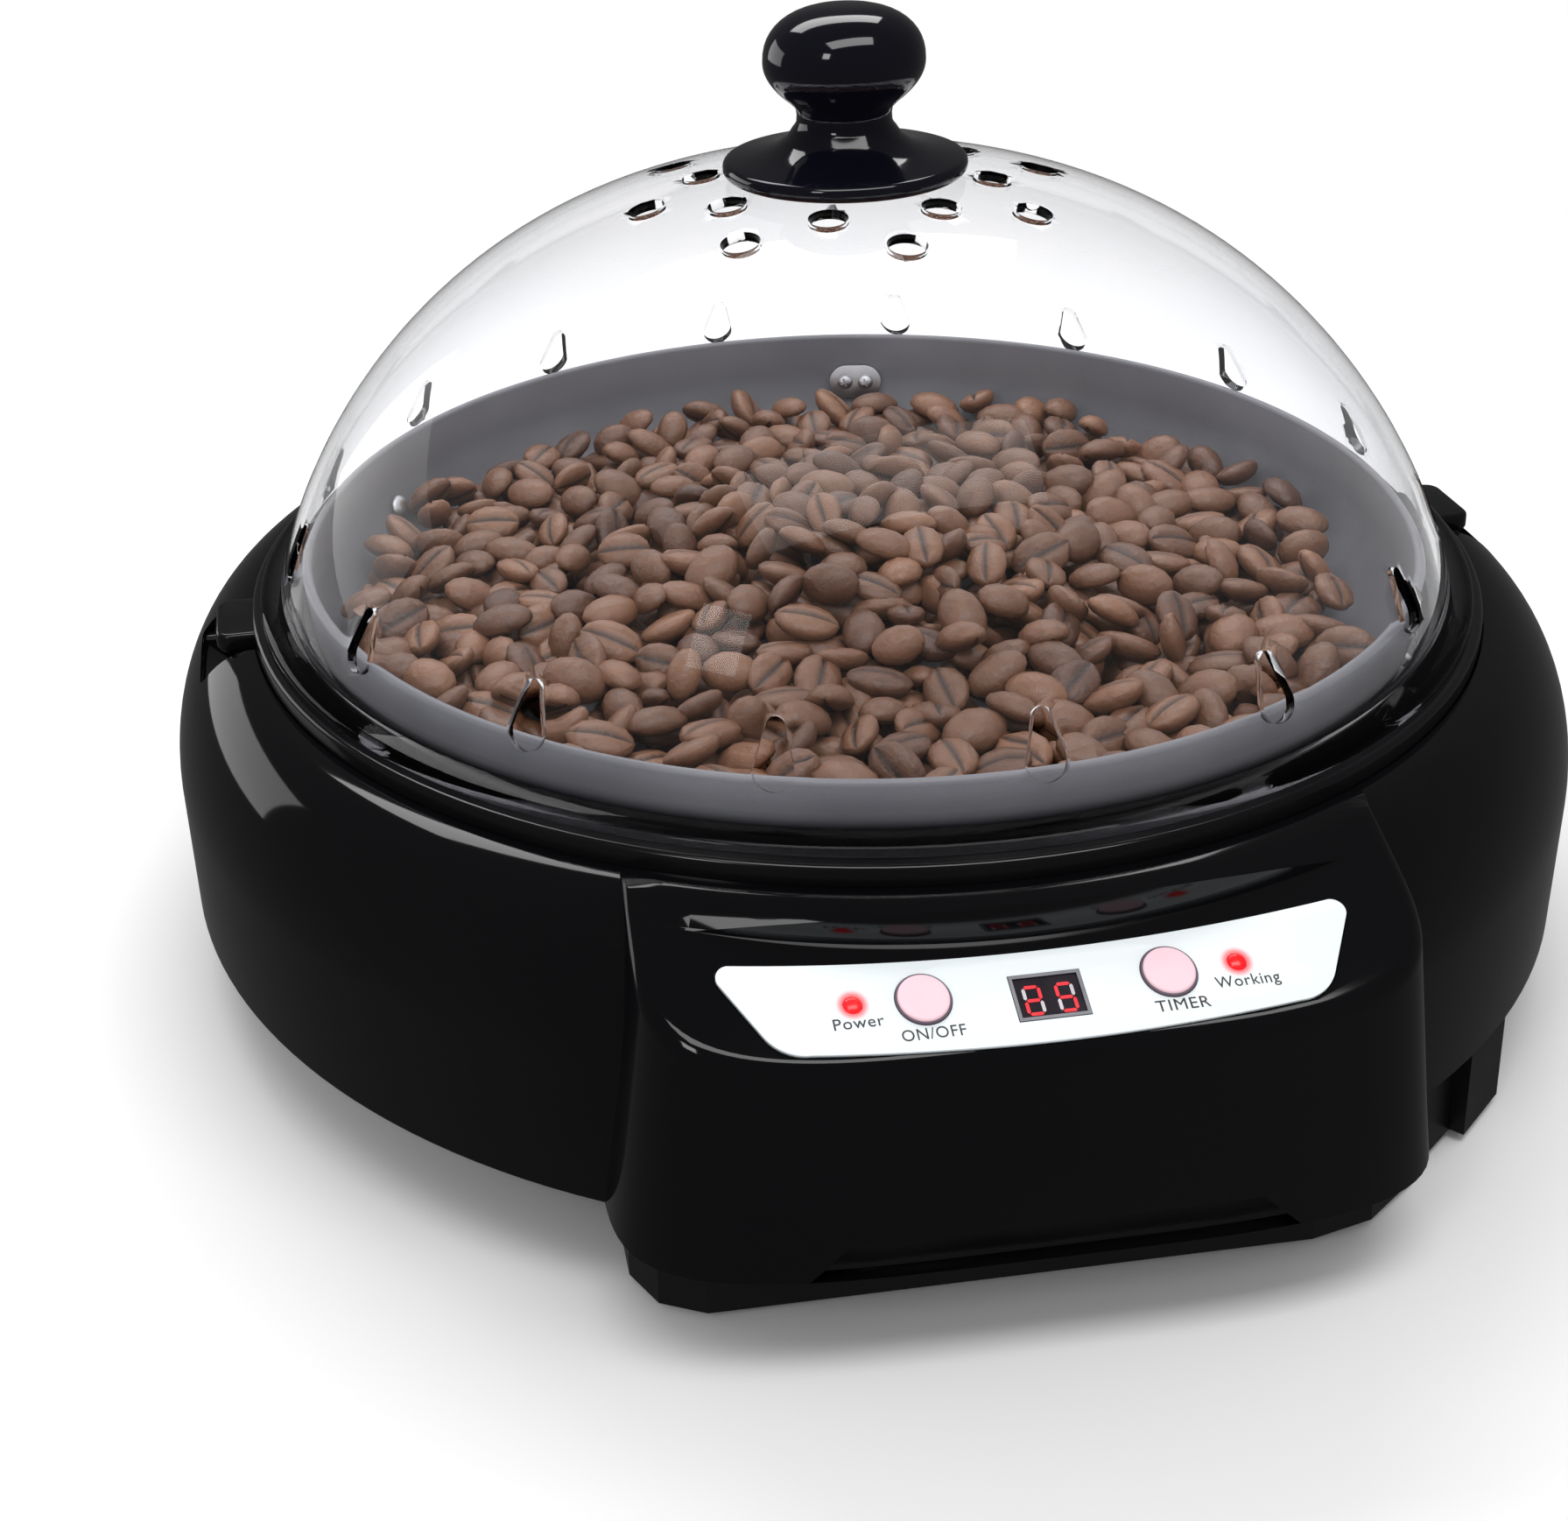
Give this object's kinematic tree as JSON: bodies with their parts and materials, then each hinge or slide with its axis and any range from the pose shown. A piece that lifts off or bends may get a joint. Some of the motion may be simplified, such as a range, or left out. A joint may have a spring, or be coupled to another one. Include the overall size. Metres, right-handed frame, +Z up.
{
  "type": "home coffee bean roaster",
  "caption": "Countertop coffee bean roaster: round heated base with a control panel, lift-out pan, driven stirrer and a clear lift-off dome with a knob.",
  "frame": {"origin": "centre of the footprint on the surface the feet stand on, on the common axis of pan, stirrer and dome", "axes": "+Z up, control panel toward -Y, cord gland toward +Y, +X to the right of someone facing the panel"},
  "size_m": [0.2904, 0.3039, 0.1982],
  "materials": {
    "gloss_black": "polished black plastic",
    "matt_black": "matt black plastic",
    "rubber": "matt rubber",
    "label": "white printed film",
    "pink": "satin pink plastic",
    "dark_plastic": "black moulded plastic",
    "white_plastic": "white moulded plastic",
    "red": "clear red lamp",
    "smoke": "smoked display window",
    "board": "green circuit board",
    "relay": "blue moulded case",
    "steel": "plain steel",
    "tin": "bright reflecting sheet",
    "element": "heat-darkened sheath",
    "non_stick": "grey non-stick coating",
    "clear": "clear moulded dome"
  },
  "bodies": {
    "base": {"housing": "gloss_black", "base_tray": "matt_black", "foot_1": "rubber", "foot_2": "rubber", "foot_3": "rubber", "foot_4": "rubber", "cord_gland": "rubber", "heat_shield": "tin", "shield_screw_1": "steel", "shield_screw_2": "steel", "shield_screw_3": "steel", "heating_element": "element", "element_clip_1": "steel", "element_clip_2": "steel", "element_clip_3": "steel", "thermostat": "dark_plastic", "thermal_fuse": "white_plastic", "motor": "steel", "motor_strap": "steel", "motor_screw_1": "steel", "motor_screw_2": "steel", "control_label": "label", "display_module": "smoke", "lamp_power": "red", "lamp_working": "red", "control_board": "board", "board_screw_1": "steel", "board_screw_2": "steel", "switch_power": "dark_plastic", "switch_timer": "dark_plastic", "mains_board": "board", "relay": "relay", "terminal_block": "white_plastic", "case_screw_1": "steel", "case_screw_2": "steel", "case_screw_3": "steel", "case_screw_4": "steel"},
    "drive": {"drive_shaft": "steel"},
    "pan_unit": {"pan": "non_stick", "pan_ring": "gloss_black", "pan_rivet_1": "steel", "pan_rivet_2": "steel", "locating_plate": "steel", "plate_screw_1": "steel", "plate_screw_2": "steel", "pan_bush": "steel"},
    "stirrer": {"stirrer_hub": "dark_plastic", "stirrer_arm_1": "steel", "stirrer_arm_2": "steel", "stirrer_cap": "dark_plastic"},
    "lid": {"dome": "clear", "knob": "gloss_black", "knob_screw": "steel", "knob_washer": "steel"},
    "power_key": {"button_power": "pink"},
    "timer_key": {"button_timer": "pink"}
  },
  "joints": [
    {"name": "shaft_turn", "type": "hinge", "parent": "base", "child": "drive", "pos_m": [0, 0, 0.04], "axis": [0, 0, 1], "continuous": true},
    {"name": "pan_lift", "type": "slide", "parent": "base", "child": "pan_unit", "axis": [0, 0, 1], "range_m": [0, 0.06]},
    {"name": "stirrer_turn", "type": "hinge", "parent": "pan_unit", "child": "stirrer", "pos_m": [0, 0, 0.07], "axis": [0, 0, 1], "continuous": true},
    {"name": "lid_lift", "type": "slide", "parent": "pan_unit", "child": "lid", "axis": [0, 0, 1], "range_m": [0, 0.1]},
    {"name": "power_press", "type": "slide", "parent": "base", "child": "power_key", "axis": [0, 0.4226, -0.9063], "range_m": [0, 0.0006], "stiffness_N_per_m": 2000},
    {"name": "timer_press", "type": "slide", "parent": "base", "child": "timer_key", "axis": [0, 0.4226, -0.9063], "range_m": [0, 0.0006], "stiffness_N_per_m": 2000}
  ],
  "couplings": [
    {"joint": "shaft_turn", "follows": "stirrer_turn", "ratio": 1}
  ]
}
